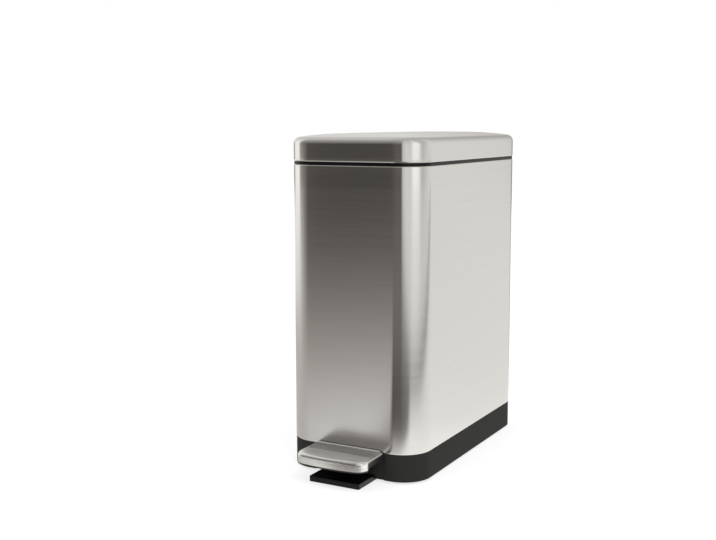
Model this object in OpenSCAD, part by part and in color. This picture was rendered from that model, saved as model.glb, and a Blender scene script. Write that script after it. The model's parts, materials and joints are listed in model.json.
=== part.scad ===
// Slim rectangular step bin: a steel sleeve on a moulded base, a hinged steel lid,
// a pedal whose lever lifts a rod at the back, and a bucket that lifts out.
// The origin is on the floor under the middle of the body, the front faces -Y and +Z is up.

/* [Body] */
// Width of the steel body, side to side
body_w = 180; // [164:1:220]
// Depth of the steel body, front to back
body_d = 320; // [290:1:380]
// Radius of the four upright corners
corner_r = 36; // [32:1:44]
// Height of the steel sleeve, from the base to the seam
shell_h = 336.2; // [300:0.2:420]
// Thickness of the steel sheet of body and lid
sheet_t = 0.6; // [0.5:0.1:0.8]

/* [Base] */
// Height of the sleeve's lower edge, where the moulded base begins to show
base_h = 35; // [33:0.1:38]
// Gap between the base's lower edge and the floor
base_gap = 2.5; // [2:0.1:2.8]
// Set-back of the base behind the face of the sleeve
base_inset = 0.3; // [0.2:0.1:0.5]
// Wall of the spigot that stands up inside the sleeve
spigot_t = 2.2; // [1.8:0.1:3]
// Thickness of the deck that the bucket stands on
deck_t = 2.5; // [2:0.1:3.5]
// Thickness of the bottom plate
bottom_t = 2; // [1.6:0.1:2.6]
// Width of the ledge that the bottom plate meets
rest_ledge = 2; // [1.5:0.1:3]
// Distance of the posts inside the body's sides
post_in_x = 26; // [22:1:30]
// Distance of the posts inside the body's front and back
post_in_y = 46; // [40:1:54]
// Radius of the posts under the deck
post_r = 5; // [4.5:0.1:6]
// Height of the rubber feet
foot_h = 3.2; // [3:0.1:3.4]
// Radius of the rubber feet
foot_r = 9; // [7:0.5:12]
// Distance of the rubber feet inside the posts
foot_in = 20; // [18:1:24]
// Depth of the recess in the base behind the pedal
recess_in = 1.4; // [0.6:0.1:1.5]
// Width of the recess on each side of the pedal
recess_side = 0.8; // [0.5:0.1:2]

/* [Foot plate] */
// Width of the plate on the floor under the pedal
plate_w = 67; // [56:1:76]
// Reach of the plate in front of the body
plate_reach = 37.6; // [34:0.1:42]
// Thickness of the plate
plate_t = 6.2; // [5.6:0.1:7]
// Gap between the plate and the floor
plate_gap = 0.4; // [0.2:0.1:0.6]
// Corner radius of the plate
plate_r = 2; // [1:0.5:5]
// Length of the flange under the bottom plate
plate_flange = 30; // [20:1:36]
// Height of the base's wall between the plate and the lever's slot
slot_bridge = 3.2; // [2.4:0.1:3.4]

/* [Seam] */
// Height of the collar's lip on top of the sleeve
lip_h = 1.9; // [1.5:0.1:3]
// Gap between the collar's lip and the lid liner's rim
seam_gap = 0.2; // [0.2:0.1:0.6]
// Height of the lid liner's rim under the steel lid
rim_h = 1.8; // [1.5:0.1:3]
// Set-back of the black seam behind the steel
seam_inset = 0.5; // [0.3:0.1:0.7]
// Height of the collar's wall inside the sleeve
collar_h = 16; // [13:0.5:22]
// Wall of the collar and of the liner's spigot
collar_t = 2; // [1.6:0.1:2.6]
// Depth of the collar's ledge below its lip's foot
ledge_drop = 2; // [1.5:0.1:3]
// Width of the collar's ledge, wall to opening
ledge_w = 6.2; // [5.8:0.1:7]

/* [Lid] */
// Height of the lid's upright skirt
skirt_h = 20.6; // [18:0.1:26]
// Radius where the skirt turns into the top
edge_r = 8; // [6:0.5:10]
// Rise of the crowned top above its edge
crown_h = 4.1; // [3:0.1:6]
// Height of the liner's spigot inside the skirt
liner_h = 6.1; // [5.5:0.1:7]
// Thickness of the liner's panel
liner_t = 2; // [1.6:0.1:2.4]
// Distance of the rubber bumpers from the lid's front and back
bumper_in = 60; // [46:1:90]
// Radius of the rubber bumpers under the lid
bumper_r = 2.6; // [2:0.1:2.7]
// Angle that the lid opens to
lid_open = 80; // [70:1:84]

/* [Hinge] */
// Distance of the hinge pin behind the body's back
hinge_out = 7; // [6.6:0.1:8]
// Height of the hinge pin above the lid's lower edge
hinge_up = 4.1; // [3.8:0.1:5]
// Radius of the hinge pin
hinge_pin_r = 2.5; // [2:0.1:3]
// Radius of the knuckles round the pin
knuckle_r = 6; // [5:0.1:6.2]
// Half length of the middle knuckle
knuckle_mid = 6; // [4:0.5:8]
// Distance of the lid's two knuckles from the middle
arm_x = 22; // [18:0.5:26]
// Width of each of the lid's knuckles
arm_w = 7.5; // [6:0.5:9]
// Width of the body's outer knuckles
knuckle_w = 6; // [4:0.5:8]
// Thickness of the hinge leaf on the body
leaf_t = 2; // [1.5:0.1:2.5]
// Thickness of the bracket in the lid
bracket_t = 2; // [1.5:0.1:2.5]
// Overlap of that bracket on the liner in front of the pocket
bracket_lap = 9; // [8:0.5:12]
// Half width of the liner's pocket for that bracket
pocket_x = 34; // [32:0.5:40]
// Height of the hinge leaf on the body
leaf_h = 32; // [26:1:40]

/* [Crank and rod] */
// Radius of the crank under the lid
crank_r = 20; // [19:0.1:21]
// Thickness of each crank cheek
cheek_t = 3; // [2:0.1:3.5]
// Wall of the cheeks round the crank pin
boss_wall = 2.5; // [2:0.1:2.8]
// Radius of the crank pin
crank_pin_r = 2; // [1.6:0.1:2.2]
// Thickness of the yoke's slotted blade
yoke_t = 5; // [4:0.1:6]
// Radius of the lift rod
rod_r = 2.5; // [2:0.1:2.8]
// Width inside the channel that covers the rod
channel_w = 44; // [38:1:52]
// Wall of that channel
channel_t = 2; // [1.5:0.1:2.4]
// Height of the rod's upper guide
guide_h = 8; // [6:0.5:12]
// Wall of the bush that guides the rod in the deck
bush_t = 1.8; // [1.4:0.1:2.4]
// Height and overhang of the bush's rim
bush_rim = 1.5; // [1:0.1:1.8]
// Wall of the yoke round its slot
yoke_wall = 2.2; // [1.8:0.1:2.4]
// Thickness of the fork's cheeks at the rod's lower end
fork_t = 3; // [2.4:0.1:4]
// Half width of the fork and of the yoke's foot
fork_hw = 5; // [4.6:0.1:6]
// Height of the yoke's foot on the rod
stem_h = 8; // [6:0.5:10]

/* [Damper] */
// Height of the damper's lower end above the deck
damper_up = 150; // [80:1:200]
// Length of the damper's tube
damper_l = 62; // [56:1:80]
// Outer radius of the damper's tube
damper_r = 8; // [7.4:0.1:8.4]
// Wall of the damper's tube
damper_t = 1.5; // [1:0.1:1.8]
// Length of the damper's caps
cap_h = 6; // [4:0.5:8]
// Height of the clamp round the tube
clamp_h = 10; // [6:0.5:14]
// Length of the piston
piston_h = 8; // [6:0.5:10]
// Rest height of the piston above the lower cap
piston_up = 8; // [4:0.5:12]

/* [Pedal] */
// Width of the pedal
pedal_w = 92; // [84:1:96]
// Reach of the pedal in front of the body
pedal_reach = 54.4; // [48:0.1:58]
// Height of the pedal's top
pedal_top = 37.4; // [36:0.1:39]
// Height of the steel lip at the pedal's front
pedal_lip = 11.6; // [10:0.1:12.4]
// Radius of the bend round the pedal's top
pedal_bend = 4; // [2.5:0.1:4.4]
// Height of the turned-up edge along the pedal's rear
pedal_ridge = 1.2; // [0.8:0.1:1.6]
// Bow of the pedal's front edge
pedal_bow = 4.7; // [3:0.1:7]
// Radius of the pedal's front corners
pedal_r = 14; // [10:0.5:18]
// Thickness of the pedal's steel cover
pedal_t = 1; // [0.8:0.1:1.2]
// Gap between the pedal and the body
pedal_gap = 1.2; // [1:0.1:1.6]
// Length of the steel lip along each side, behind the front corner
lip_back = 0.5; // [0:0.5:4]
// Height of the core's foot that shows under the steel lip
core_foot = 1.6; // [1:0.1:1.8]
// Set-back of the core's sides under the steel
core_inset = 0.3; // [0.2:0.1:0.6]
// Depth of the core's sides below the pedal's top
core_side = 9.8; // [8.5:0.1:10.5]
// Set-back of the core's foot below its sides
core_step = 6; // [4:0.5:8]
// Radius of the rivets under the pedal
rivet_r = 2.5; // [2:0.1:3]
// Height of the rivets
rivet_h = 1; // [0.6:0.1:1.6]

/* [Lever] */
// Distance of the lever's pivot behind the body's front
pivot_in = 56; // [54:1:70]
// Radius of the lever's pivot pin
pivot_r = 3; // [2.5:0.1:3.4]
// Wall of the sleeve round the pivot pin
sleeve_t = 2.4; // [2:0.1:3]
// Half width of the lever's front channel
lever_w = 20; // [16:0.5:24]
// Height of the lever
lever_h = 8; // [7:0.1:9]
// Thickness of the lever's sheet
lever_t = 2; // [1.5:0.1:2.5]
// Reach of the lever's channel under the pedal
lever_front_l = 30; // [24:1:34]
// Overlap of the lever's channel behind the pivot
web_over = 14; // [10:1:20]
// Thickness of the lever's rear bar
bar_t = 5; // [4:0.1:6]
// Thickness of the pivot bracket's ears
ear_t = 3; // [2:0.1:4]
// Half length of the pivot bracket's foot
bracket_hw = 13; // [12:0.5:16]
// Width of the pivot bracket's foot outside each ear
bracket_out = 9; // [8:0.5:12]
// Radius of the pivot bracket's ears
ear_r = 8; // [6:0.5:9]
// Radius of the pin at the lever's rear end
end_pin_r = 2; // [1.6:0.1:2.2]

/* [Bucket] */
// Wall of the bucket
bucket_t = 2; // [1.5:0.1:2.5]
// Draft of the bucket's walls, from rim to floor
bucket_draft = 6; // [3:0.5:8]
// Gap between the bucket's rim and the collar's opening
bucket_gap = 1.5; // [1:0.1:2.5]
// Width of the bucket's turned-out rim
bucket_rim = 3.5; // [2.5:0.1:5]
// Drop of the bucket's rim below the collar's ledge
bucket_drop = 12; // [10:0.5:20]
// Width of the finger slots in the bucket's sides
grip_w = 64; // [50:1:80]
// Height of the finger slots
grip_h = 16; // [14:0.5:20]
// Thickness of the bucket's rim
rim_t = 3; // [2:0.1:4]
// Distance of the finger slots below the rim
grip_down = 8; // [6:0.5:14]

/* [Fasteners] */
// Radius of the screw shanks
screw_r = 1.6; // [1.3:0.1:1.9]
// Radius of the screw heads
head_r = 3.2; // [2.8:0.1:3.6]
// Height of the screw heads
head_h = 1.5; // [1:0.1:1.5]
// Length of the base screws inside the posts
screw_l = 12; // [8:1:20]
// Height of the heads on the pivot and hinge pins, and their overhang
pin_head = 1.2; // [0.8:0.1:1.5]

/* [Hidden] */
$fn = 64;

// Clearances that more than one fit uses
run_clear = 0.06;
side_clear = 0.5;
slot_clear = 0.3;
seat_clear = 0.2;
press_clear = 0.1;
move_clear = 0.8;
cut_over = 1;

// Steps of the rounded corners, of the pedal's bow and bend, and the slices of a stretched form
corner_steps = 16;
bow_steps = 6;
bend_steps = 4;
slice = 0.1;
// Drop of the lid's top where the rounding meets the crown, and the least radius of its corners
slack = 0.3;
crown_r = 6;

// Colours
steel = [0.74, 0.73, 0.71];
bright = [0.8, 0.8, 0.8];
black = [0.09, 0.09, 0.09];
dark_grey = [0.16, 0.16, 0.17];
rubber = [0.05, 0.05, 0.05];

// Heights of the body and the lid
shell_z0 = base_h;
shell_z1 = shell_z0 + shell_h;
lip_z1 = shell_z1 + lip_h;
rim_z0 = lip_z1 + seam_gap;
lid_z0 = rim_z0 + rim_h;
liner_z1 = lid_z0 + liner_h;
liner_z0 = liner_z1 - liner_t;
ledge_z1 = shell_z1 - ledge_drop;
collar_z0 = shell_z1 - collar_h;
wall_inset = sheet_t + collar_t;
opening_inset = wall_inset + ledge_w;

// Hinge axis, crank and rod
hinge_y = body_d / 2 + hinge_out;
hinge_z = lid_z0 + hinge_up;
crank_y0 = hinge_y - crank_r * cos(lid_open / 2);
crank_z0 = hinge_z - crank_r * sin(lid_open / 2);
crank_y1 = hinge_y - crank_r;
rod_y = (crank_y0 + crank_y1) / 2;
rod_lift = 2 * crank_r * sin(lid_open / 2);
// The crank pin runs ahead of a steady rod by this share of the crank at most
wander = 0.0225 * crank_r;
cheek_x = yoke_t / 2 + move_clear;
boss_r = crank_pin_r + boss_wall;
yoke_hh = crank_pin_r + wander + slot_clear;
stem_z1 = crank_z0 - boss_r - wander - move_clear;

// Lever, from the bottom plate up
bottom_z1 = foot_h + bottom_t;
tip_r = lever_h / 2;
foot_down = tip_r + side_clear;
foot_up = tip_r + side_clear + fork_t;
pivot_z = bottom_z1 + move_clear + foot_down + rod_lift / 2;
pivot_y = -body_d / 2 + pivot_in;
lever_l = rod_y - pivot_y;
lever_rest = asin(rod_lift / 2 / lever_l);
tip_y = pivot_y + lever_l * cos(lever_rest);
tip_z = pivot_z - rod_lift / 2;
tip_play = lever_l * (1 - cos(lever_rest)) + slot_clear;
pedal_swing = 2 * lever_rest;
deck_z = pivot_z + rod_lift / 2 + foot_up + move_clear;
deck_z1 = deck_z + deck_t;
inner_inset = sheet_t + spigot_t;
post_x = body_w / 2 - post_in_x;
post_y = body_d / 2 - post_in_y;

// Channel at the back and the bucket in front of it
channel_y1 = body_d / 2 - wall_inset;
channel_y0 = min(hinge_y - crank_r - boss_r - move_clear, rod_y - damper_r - seat_clear) - channel_t;
channel_z0 = deck_z1;
channel_z1 = ledge_z1 - collar_t;
guide_z1 = stem_z1 - stem_h - move_clear;
damper_z0 = deck_z1 + damper_up;
damper_z1 = damper_z0 + damper_l;
piston_z0 = damper_z0 + cap_h + piston_up;
bucket_z0 = deck_z1 + seat_clear;
bucket_z1 = ledge_z1 - bucket_drop;
bucket_w = body_w - 2 * opening_inset - 2 * bucket_gap;
bucket_y0 = -body_d / 2 + opening_inset + bucket_gap;
bucket_y1 = channel_y0 - bucket_gap;
bucket_r = corner_r - opening_inset - bucket_gap;
grip_z = bucket_z1 - rim_t - grip_down - grip_h / 2;

// Pedal, foot plate and the front of the lever
pedal_y1 = -body_d / 2 - pedal_gap;
pedal_d = pedal_reach - pedal_gap;
plate_z1 = plate_gap + plate_t;
recess_x = pedal_w / 2 + recess_side;
lever_y0 = pedal_y1 - lever_front_l;
web_y1 = pivot_y + web_over;
lip_end = corner_y(pedal_w, pedal_d, pedal_r, pedal_bow) + lip_back;
slot_z0 = plate_z1 + slot_bridge;
slot_z1 = pivot_z + lever_h / 2 + move_clear;
ear_x = lever_w + side_clear * 2;
foot_x = post_x - foot_in;

// Hinge leaf, lid bracket and the openings they need
leaf_x = arm_x + arm_w + side_clear + knuckle_w;
leaf_z1 = shell_z1 + lip_h / 2;
notch_z1 = liner_z1 + bracket_t + move_clear;
mouth_x = cheek_x + cheek_t + 2 * move_clear + crank_pin_r;
hinge_screw_x = (knuckle_mid + arm_x + arm_w) / 2;
hinge_screw_z = collar_z0 + head_r;
hinge_screw_gap = 2 * head_r + side_clear;

// Round-cornered rectangle, centred
module rounded_rect(w, d, r) {
    square([w - 2 * r, d], center = true);
    square([w, d - 2 * r], center = true);
    for (x = [-1, 1], y = [-1, 1])
        translate([x * (w / 2 - r), y * (d / 2 - r)])
            circle(r = r);
}

// The body's outline, drawn in by an inset
module outline(inset) {
    rounded_rect(body_w - 2 * inset, body_d - 2 * inset, corner_r - inset);
}

// Closed band between two insets of the body's outline
module band(z0, z1, inset_out, inset_in) {
    translate([0, 0, z0])
        linear_extrude(z1 - z0)
            difference() {
                outline(inset_out);
                outline(inset_in);
            }
}

// Block between two corners
module block(x0, x1, y0, y1, z0, z1) {
    translate([x0, y0, z0])
        cube([x1 - x0, y1 - y0, z1 - z0]);
}

// Round bar along X between two places
module bar_x(x0, x1, y, z, r) {
    translate([x0, y, z])
        rotate([0, 90, 0])
            cylinder(r = r, h = x1 - x0);
}

// Round bar along Y between two places
module bar_y(y0, y1, x, z, r) {
    translate([x, y0, z])
        rotate([-90, 0, 0])
            cylinder(r = r, h = y1 - y0);
}

// Round bar along Z between two places
module bar_z(z0, z1, x, y, r) {
    translate([x, y, z0])
        cylinder(r = r, h = z1 - z0);
}

// Places its children at the four posts
module at_posts() {
    for (x = [-1, 1], y = [-1, 1])
        translate([x * post_x, y * post_y, 0])
            children();
}

// Steel sleeve between the base and the seam
module body_shell() {
    color(steel)
        difference() {
            band(shell_z0, shell_z1, 0, sheet_t);
            hinge_screw_holes();
        }
}

// Collar in the sleeve's mouth: lip, wall and the ledge round the opening
module top_collar() {
    color(black)
        difference() {
            union() {
                band(shell_z1, lip_z1, seam_inset, wall_inset);
                band(collar_z0, shell_z1, sheet_t, wall_inset);
                translate([0, 0, channel_z1])
                    linear_extrude(ledge_z1 - channel_z1)
                        difference() {
                            outline(wall_inset - cut_over / 4);
                            difference() {
                                outline(opening_inset);
                                translate([-body_w / 2, channel_y0])
                                    square([body_w, body_d]);
                            }
                        }
            }
            block(-mouth_x, mouth_x, channel_y0 + channel_t, body_d / 2 - wall_inset,
                channel_z1 - cut_over, ledge_z1 + cut_over);
            hinge_screw_holes();
        }
}

// Moulded base: the band that shows, with a recess behind the pedal, the spigot in the
// sleeve and the ledge for the bottom
module base_skirt() {
    slot_x = lever_w + 2 * side_clear;
    color(black)
        difference() {
            union() {
                band(base_gap, base_h, base_inset, inner_inset);
                band(base_h - cut_over, deck_z, sheet_t, inner_inset);
                band(bottom_z1, bottom_z1 + rest_ledge, inner_inset - cut_over, inner_inset + rest_ledge);
            }
            block(-slot_x, slot_x, -body_d / 2 - cut_over, -body_d / 2 + inner_inset + rest_ledge + cut_over,
                slot_z0, slot_z1);
            block(-plate_w / 2 - seat_clear, plate_w / 2 + seat_clear,
                -body_d / 2 - cut_over, -body_d / 2 + inner_inset + seat_clear,
                base_gap - cut_over, plate_z1 + seat_clear);
            block(-recess_x, recess_x, -body_d / 2 - cut_over, -body_d / 2 + base_inset + recess_in,
                base_gap - cut_over, base_h);
        }
}

// Deck that closes the base, with four posts down to the bottom plate
module base_deck() {
    color(dark_grey)
        difference() {
            union() {
                translate([0, 0, deck_z])
                    linear_extrude(deck_t)
                        outline(sheet_t + seat_clear);
                at_posts() bar_z(bottom_z1, deck_z + cut_over, 0, 0, post_r);
            }
            bar_z(deck_z - cut_over, deck_z1 + cut_over, 0, rod_y, rod_r + bush_t);
            at_posts() bar_z(bottom_z1 - cut_over, bottom_z1 + screw_l, 0, 0, screw_r);
        }
}

// Bottom plate under the lever
module base_bottom() {
    color(dark_grey)
        difference() {
            translate([0, 0, foot_h])
                linear_extrude(bottom_t)
                    outline(inner_inset + seat_clear);
            at_posts() bar_z(foot_h - cut_over, bottom_z1 + cut_over, 0, 0, screw_r);
            at_pivot_screws() bar_z(foot_h - cut_over, bottom_z1 + cut_over, 0, 0, screw_r);
            at_plate_screws() bar_z(foot_h - cut_over, bottom_z1 + cut_over, 0, 0, screw_r);
        }
}

// Plate on the floor in front, with a flange under the bottom plate
module foot_plate() {
    y0 = -body_d / 2 - plate_reach;
    y1 = -body_d / 2 + inner_inset;
    color(black)
        difference() {
            union() {
                translate([0, 0, plate_gap])
                    linear_extrude(plate_t) {
                        translate([-plate_w / 2, y0 + plate_r])
                            square([plate_w, y1 - y0 - plate_r]);
                        translate([-plate_w / 2 + plate_r, y0])
                            square([plate_w - 2 * plate_r, plate_r]);
                        for (x = [-1, 1])
                            translate([x * (plate_w / 2 - plate_r), y0 + plate_r])
                                circle(r = plate_r);
                    }
                block(-plate_w / 2, plate_w / 2, y1 - cut_over, y1 + plate_flange, plate_gap, foot_h);
            }
            at_plate_screws() bar_z(plate_gap - cut_over, foot_h + cut_over, 0, 0, screw_r);
        }
}

// Rubber feet: one near each corner and one in the middle, where the origin is
module rubber_feet() {
    color(rubber) {
        bar_z(0, foot_h, 0, 0, foot_r);
        for (x = [-1, 1], y = [-1, 1])
            bar_z(0, foot_h, x * foot_x, y * post_y, foot_r);
    }
}

// Screw with its head below
module screw_up(z, l) {
    bar_z(z - head_h, z, 0, 0, head_r);
    bar_z(z, z + l, 0, 0, screw_r);
}

// Screws from the bottom plate into the deck's posts
module base_screws() {
    color(bright)
        at_posts() screw_up(foot_h, bottom_t + screw_l);
}

// Places of the two screws of the foot plate
module at_plate_screws() {
    for (x = [-1, 1])
        translate([x * plate_w / 4, -body_d / 2 + inner_inset + plate_flange / 2, 0])
            children();
}

// Screws that hold the foot plate's flange to the bottom plate
module foot_plate_screws() {
    color(bright)
        at_plate_screws() {
            bar_z(bottom_z1, bottom_z1 + head_h, 0, 0, head_r);
            bar_z(plate_gap, bottom_z1, 0, 0, screw_r);
        }
}

// Bracket with two ears that carries the lever's pivot
module pivot_bracket() {
    color(bright)
        difference() {
            union() {
                block(-ear_x - ear_t - bracket_out, ear_x + ear_t + bracket_out,
                    pivot_y - bracket_hw, pivot_y + bracket_hw, bottom_z1, bottom_z1 + lever_t);
                for (x = [-ear_x - ear_t, ear_x]) {
                    block(x, x + ear_t, pivot_y - ear_r, pivot_y + ear_r, bottom_z1, pivot_z);
                    bar_x(x, x + ear_t, pivot_y, pivot_z, ear_r);
                }
            }
            bar_x(-ear_x - ear_t - cut_over, ear_x + ear_t + cut_over, pivot_y, pivot_z, pivot_r);
            at_pivot_screws() bar_z(bottom_z1 - cut_over, bottom_z1 + lever_t + cut_over, 0, 0, screw_r);
        }
}

// Places of the four screws of the pivot bracket
module at_pivot_screws() {
    for (x = [-1, 1], y = [-1, 1])
        translate([x * (ear_x + ear_t + bracket_out / 2), pivot_y + y * (bracket_hw - 1.5 * head_r), 0])
            children();
}

// Screws that hold the pivot bracket down
module pivot_screws() {
    color(bright)
        at_pivot_screws() {
            bar_z(bottom_z1 + lever_t, bottom_z1 + lever_t + head_h, 0, 0, head_r);
            bar_z(foot_h, bottom_z1 + lever_t, 0, 0, screw_r);
        }
}

// Pivot pin with a head at each end
module pivot_pin() {
    l = ear_x + ear_t;
    color(bright) {
        bar_x(-l - pin_head, l + pin_head, pivot_y, pivot_z, pivot_r);
        for (x = [-l - pin_head, l])
            bar_x(x, x + pin_head, pivot_y, pivot_z, pivot_r + pin_head);
    }
}

// Knuckle of the hinge leaf, between two places along the pin
module knuckle(x0, x1) {
    neck = knuckle_r * 0.7;
    difference() {
        union() {
            bar_x(x0, x1, hinge_y, hinge_z, knuckle_r);
            block(x0, x1, body_d / 2, hinge_y + neck, leaf_z1 - 2 * leaf_t, leaf_z1);
            block(x0, x1, hinge_y - neck, hinge_y + neck, leaf_z1 - leaf_t, hinge_z - neck);
        }
        bar_x(x0 - cut_over, x1 + cut_over, hinge_y, hinge_z, hinge_pin_r);
    }
}

// Hinge leaf on the back of the body, with three knuckles
module hinge_leaf() {
    y0 = body_d / 2;
    color(bright)
        difference() {
            union() {
                block(-leaf_x, leaf_x, y0, y0 + leaf_t, leaf_z1 - leaf_h, leaf_z1);
                knuckle(-knuckle_mid, knuckle_mid);
                knuckle(-leaf_x, -leaf_x + knuckle_w);
                knuckle(leaf_x - knuckle_w, leaf_x);
            }
            hinge_screw_holes();
        }
}

// Places of the four hinge screws, as bars through leaf, sleeve and collar
module hinge_screw_holes() {
    for (x = [-1, 1], z = [0, 1])
        bar_y(body_d / 2 - wall_inset - cut_over, body_d / 2 + leaf_t + cut_over,
            x * hinge_screw_x, hinge_screw_z + z * hinge_screw_gap, screw_r);
}

// Screws through the hinge leaf, the sleeve and the collar's wall
module hinge_screws() {
    color(bright)
        for (x = [-1, 1], z = [0, 1]) {
            bar_y(body_d / 2 - wall_inset, body_d / 2 + leaf_t,
                x * hinge_screw_x, hinge_screw_z + z * hinge_screw_gap, screw_r);
            bar_y(body_d / 2 + leaf_t, body_d / 2 + leaf_t + head_h,
                x * hinge_screw_x, hinge_screw_z + z * hinge_screw_gap, head_r);
        }
}

// Hinge pin with a head at each end
module hinge_pin() {
    color(bright) {
        bar_x(-leaf_x - pin_head, leaf_x + pin_head, hinge_y, hinge_z, hinge_pin_r);
        for (x = [-leaf_x - pin_head, leaf_x])
            bar_x(x, x + pin_head, hinge_y, hinge_z, hinge_pin_r + pin_head);
    }
}

// Channel that parts the rod and the damper from the bucket
module rod_channel() {
    hw = channel_w / 2 + channel_t;
    color(dark_grey)
        difference() {
            block(-hw, hw, channel_y0, channel_y1, channel_z0, channel_z1);
            block(-channel_w / 2, channel_w / 2, channel_y0 + channel_t, channel_y1 + cut_over,
                channel_z0 - cut_over, channel_z1 + cut_over);
        }
}

// Block across the channel with a hole in it
module channel_block(z0, z1, hole_r) {
    difference() {
        block(-channel_w / 2, channel_w / 2, channel_y0 + channel_t, body_d / 2 - sheet_t, z0, z1);
        bar_z(z0 - cut_over, z1 + cut_over, 0, rod_y, hole_r);
    }
}

// Upper guide of the rod
module rod_guide() {
    color(black)
        channel_block(guide_z1 - guide_h, guide_z1, rod_r + run_clear);
}

// Flanged bush in the deck that guides the rod's foot end
module rod_bush() {
    color(bright)
        difference() {
            union() {
                bar_z(deck_z, deck_z1, 0, rod_y, rod_r + bush_t);
                bar_z(deck_z1, deck_z1 + bush_rim, 0, rod_y, rod_r + bush_t + bush_rim);
            }
            bar_z(deck_z - cut_over, deck_z1 + bush_rim + cut_over, 0, rod_y, rod_r + run_clear);
        }
}

// Tube of the air damper
module damper_cylinder() {
    color(steel)
        difference() {
            bar_z(damper_z0 + cap_h, damper_z1 - cap_h, 0, rod_y, damper_r);
            bar_z(damper_z0, damper_z1, 0, rod_y, damper_r - damper_t);
        }
}

// Caps at both ends of the tube, bored for the rod
module damper_caps() {
    color(black)
        for (z = [damper_z0, damper_z1 - cap_h])
            difference() {
                bar_z(z, z + cap_h, 0, rod_y, damper_r);
                bar_z(z - cut_over, z + cap_h + cut_over, 0, rod_y, rod_r + run_clear);
            }
}

// Clamp that holds the tube in the channel
module damper_clamp() {
    mid = (damper_z0 + damper_z1) / 2;
    color(black)
        channel_block(mid - clamp_h / 2, mid + clamp_h / 2, damper_r);
}

// Outer profile of the lid as insets and heights, from the skirt to the crown
function lid_steps(t) = concat(
    [[t, lid_z0 - (t > 0 ? cut_over : 0)], [t, lid_z0 + skirt_h]],
    [for (a = [15 : 15 : 75])
        [t + (edge_r - t) * (1 - cos(a)), lid_z0 + skirt_h + (edge_r - t) * sin(a)]],
    [for (s = [0.12, 0.3, 0.5, 0.72, 0.9])
        [edge_r + s * (body_w / 2 - edge_r),
            lid_z0 + skirt_h + edge_r - t + (crown_h + slack) * (1 - pow(1 - s, 2)) - slack]]);

// Points of a round-cornered rectangle at a height, counter-clockwise from above
function rect_ring(w, d, r, z) = [
    for (q = [0 : 3], i = [0 : corner_steps])
        let (a = 90 * (q + i / corner_steps),
            sx = q == 0 || q == 3 ? 1 : -1,
            sy = q < 2 ? 1 : -1)
        [sx * (w / 2 - r) + r * cos(a), sy * (d / 2 - r) + r * sin(a), z]];

// Solid stretched over rings with equal counts, from the lowest up
module ring_solid(rings) {
    n = len(rings[0]);
    top = (len(rings) - 1) * n;
    polyhedron(
        points = [for (ring = rings) each ring],
        faces = concat(
            [[for (i = [0 : n - 1]) i]],
            [[for (i = [n - 1 : -1 : 0]) top + i]],
            [for (k = [0 : len(rings) - 2], i = [0 : n - 1])
                [k * n + i, (k + 1) * n + i, (k + 1) * n + (i + 1) % n]],
            [for (k = [0 : len(rings) - 2], i = [0 : n - 1])
                [k * n + i, (k + 1) * n + (i + 1) % n, k * n + (i + 1) % n]]));
}

// Solid bounded by the lid's steps
module lid_form(t) {
    ring_solid([for (p = lid_steps(t))
        rect_ring(body_w - 2 * p[0], body_d - 2 * p[0], max(corner_r - p[0], crown_r), p[1])]);
}

// Pressed steel lid, notched at the back for the bracket's arms
module lid_cover() {
    color(steel)
        difference() {
            lid_form(0);
            lid_form(sheet_t);
            for (x = [-1, 1])
                block(x * (arm_x + arm_w / 2) - arm_w / 2 - side_clear,
                    x * (arm_x + arm_w / 2) + arm_w / 2 + side_clear,
                    body_d / 2 - sheet_t - cut_over, body_d / 2 + cut_over,
                    lid_z0 - cut_over, notch_z1);
        }
}

// Liner of the lid: rim, spigot and panel, open where the bracket hangs through
module lid_liner() {
    color(black)
        difference() {
            union() {
                band(rim_z0, lid_z0, seam_inset, wall_inset);
                band(lid_z0, liner_z1, sheet_t + press_clear, wall_inset);
                translate([0, 0, liner_z0])
                    linear_extrude(liner_t)
                        outline(wall_inset - cut_over / 4);
            }
            block(-pocket_x, pocket_x, channel_y0, body_d / 2 - wall_inset,
                liner_z0 - cut_over, liner_z1 + cut_over);
            for (x = [-1, 1])
                block(x * (arm_x + arm_w / 2) - arm_w / 2 - side_clear,
                    x * (arm_x + arm_w / 2) + arm_w / 2 + side_clear,
                    channel_y1 - cut_over, body_d / 2,
                    lid_z0 + side_clear, liner_z1 + cut_over);
            block(-yoke_t / 2 - move_clear, yoke_t / 2 + move_clear,
                channel_y1 - cut_over, body_d / 2, rim_z0 - cut_over, liner_z1 + cut_over);
            at_lid_screws() bar_z(liner_z0 - cut_over, liner_z1 + cut_over, 0, 0, screw_r);
        }
}

// Places of the two screws that hold the bracket to the liner
module at_lid_screws() {
    for (x = [-1, 1])
        translate([x * arm_x, channel_y0 - bracket_lap / 2, 0])
            children();
}

// Screws up through the liner's panel and the bracket
module lid_screws() {
    color(bright)
        at_lid_screws() screw_up(liner_z0, liner_t + bracket_t);
}

// Rubber bumpers that meet the collar's ledge
module lid_bumpers() {
    x = body_w / 2 - wall_inset - ledge_w / 2;
    y = body_d / 2 - bumper_in;
    color(rubber)
        for (sx = [-1, 1], sy = [-1, 1])
            bar_z(ledge_z1 + seam_gap / 2, liner_z0, sx * x, sy * y, bumper_r);
}

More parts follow.
